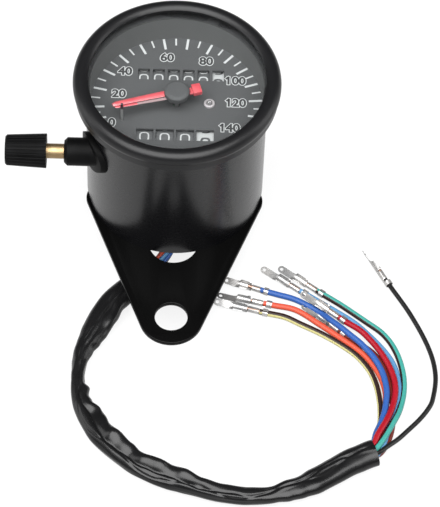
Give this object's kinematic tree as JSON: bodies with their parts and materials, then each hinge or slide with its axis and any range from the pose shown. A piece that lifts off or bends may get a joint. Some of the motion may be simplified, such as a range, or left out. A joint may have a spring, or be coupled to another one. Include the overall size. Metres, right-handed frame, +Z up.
{
  "type": "motorcycle speedometer",
  "caption": "Small round cable-driven speedometer: black can, rolled bezel, grey dial, pointer, two drum counters, reset knob, flat bracket and wiring harness.",
  "frame": {"origin": "centre of the cable port's lower end face, on the dial's axis", "axes": "+Z up the dial's axis, -Y along the bracket's tongue, -X towards the trip reset knob"},
  "size_m": [0.1339, 0.1436, 0.0664],
  "materials": {
    "can_black": "gloss black",
    "bezel_black": "gloss black",
    "glass": "clear",
    "rubber": "matte",
    "dial_grey": "matte printed",
    "pin_black": "matte",
    "needle_coral": "satin",
    "steel": "satin",
    "aluminium": "satin",
    "brass": "satin",
    "zinc_plate": "zinc plated",
    "board_green": "satin",
    "lamp_white": "satin",
    "lamp_clear": "clear",
    "cast_alloy": "as cast",
    "ferrite": "matte",
    "nylon": "satin",
    "drum_black": "matte printed",
    "drum_white": "matte printed",
    "knob_black": "satin",
    "plate_black": "matte black",
    "wire_bundle": "soft PVC",
    "sleeve_black": "shiny soft PVC",
    "wire_black": "soft PVC",
    "wire_green": "soft PVC, black stripe",
    "wire_sky": "soft PVC",
    "wire_red": "soft PVC",
    "wire_blue": "soft PVC",
    "wire_orange": "soft PVC",
    "wire_yellow": "soft PVC, black stripe",
    "wire_brown": "soft PVC",
    "tinned": "tin plated"
  },
  "bodies": {
    "case": {"housing_can": "can_black", "bezel_ring": "bezel_black", "lens_glass": "glass", "lens_gasket": "rubber", "spacer_ring": "dial_grey", "dial_plate": "dial_grey", "stop_pin": "pin_black", "hairspring": "brass", "spindle_bush": "brass", "spindle_bridge": "zinc_plate", "movement_frame": "zinc_plate", "frame_nuts": "zinc_plate", "lamp_board": "board_green", "backlight_leds": "lamp_white", "indicator_led": "lamp_clear", "cable_port": "cast_alloy", "port_gasket": "rubber", "odometer_axle": "steel", "carry_pinions": "nylon", "pinion_shaft": "steel", "stem_gland": "knob_black", "wire_grommet": "rubber", "bracket": "plate_black", "stud_bolts": "zinc_plate", "bracket_nuts": "zinc_plate", "bracket_washers": "zinc_plate", "harness_root": "wire_bundle", "harness_sleeve": "sleeve_black", "wire_black": "wire_black", "wire_green": "wire_green", "wire_sky": "wire_sky", "wire_red": "wire_red", "wire_blue": "wire_blue", "wire_orange": "wire_orange", "wire_yellow": "wire_yellow", "wire_brown": "wire_brown", "terminals": "tinned"},
    "drive": {"drive_shaft": "steel", "magnet_carrier": "steel", "drive_magnet": "ferrite"},
    "cross_gear": {"cross_wheel": "nylon", "cross_shaft": "steel"},
    "upright_gear": {"upright_wheel": "nylon", "upright_shaft": "steel"},
    "tenths_drum": {"odometer_drum_6": "drum_white", "odometer_wheel": "nylon"},
    "units_drum": {"odometer_drum_5": "drum_black"},
    "tens_drum": {"odometer_drum_4": "drum_black"},
    "hundreds_drum": {"odometer_drum_3": "drum_black"},
    "thousands_drum": {"odometer_drum_2": "drum_black"},
    "ten_thousands_drum": {"odometer_drum_1": "drum_black"},
    "pointer": {"needle": "needle_coral", "hub_cap": "dial_grey", "needle_spindle": "steel", "drag_cup": "aluminium"},
    "trip_counter": {"reset_knob": "knob_black", "reset_stem": "brass", "trip_axle": "steel", "trip_drums": "drum_black"}
  },
  "joints": [
    {"name": "drive_spin", "type": "hinge", "parent": "case", "child": "drive", "pos_m": [0, 0, 0.02], "axis": [0, 0, -1], "continuous": true},
    {"name": "cross_spin", "type": "hinge", "parent": "case", "child": "cross_gear", "pos_m": [0, 0.00666, 0.02396], "axis": [-1, 0, 0], "continuous": true},
    {"name": "upright_spin", "type": "hinge", "parent": "case", "child": "upright_gear", "pos_m": [0.0172, 0.00293, 0.02396], "axis": [0, 0, -1], "continuous": true},
    {"name": "tenths_turn", "type": "hinge", "parent": "case", "child": "tenths_drum", "pos_m": [0, 0.011, 0.04401], "axis": [-1, 0, 0], "continuous": true},
    {"name": "units_turn", "type": "hinge", "parent": "case", "child": "units_drum", "pos_m": [0, 0.011, 0.04401], "axis": [-1, 0, 0], "continuous": true},
    {"name": "tens_turn", "type": "hinge", "parent": "case", "child": "tens_drum", "pos_m": [0, 0.011, 0.04401], "axis": [-1, 0, 0], "continuous": true},
    {"name": "hundreds_turn", "type": "hinge", "parent": "case", "child": "hundreds_drum", "pos_m": [0, 0.011, 0.04401], "axis": [-1, 0, 0], "continuous": true},
    {"name": "thousands_turn", "type": "hinge", "parent": "case", "child": "thousands_drum", "pos_m": [0, 0.011, 0.04401], "axis": [-1, 0, 0], "continuous": true},
    {"name": "ten_thousands_turn", "type": "hinge", "parent": "case", "child": "ten_thousands_drum", "pos_m": [0, 0.011, 0.04401], "axis": [-1, 0, 0], "continuous": true},
    {"name": "needle_swing", "type": "hinge", "parent": "case", "child": "pointer", "pos_m": [0, 0, 0.0575], "axis": [0, 0, -1], "range_deg": [0, 232], "stiffness_Nm_per_rad": 0.00025, "springref_deg": -8.59},
    {"name": "trip_reset", "type": "hinge", "parent": "case", "child": "trip_counter", "pos_m": [0, -0.0122, 0.04401], "axis": [-1, 0, 0], "continuous": true}
  ],
  "couplings": [
    {"joint": "cross_spin", "follows": "drive_spin", "ratio": 0.071429},
    {"joint": "upright_spin", "follows": "drive_spin", "ratio": 0.0071429},
    {"joint": "tenths_turn", "follows": "drive_spin", "ratio": 0.00071429},
    {"joint": "units_turn", "follows": "drive_spin", "ratio": 0.000071429},
    {"joint": "tens_turn", "follows": "drive_spin", "ratio": 0.0000071429},
    {"joint": "hundreds_turn", "follows": "drive_spin", "ratio": 0.00000071429},
    {"joint": "thousands_turn", "follows": "drive_spin", "ratio": 0.000000071429},
    {"joint": "ten_thousands_turn", "follows": "drive_spin", "ratio": 0.0000000071429}
  ]
}
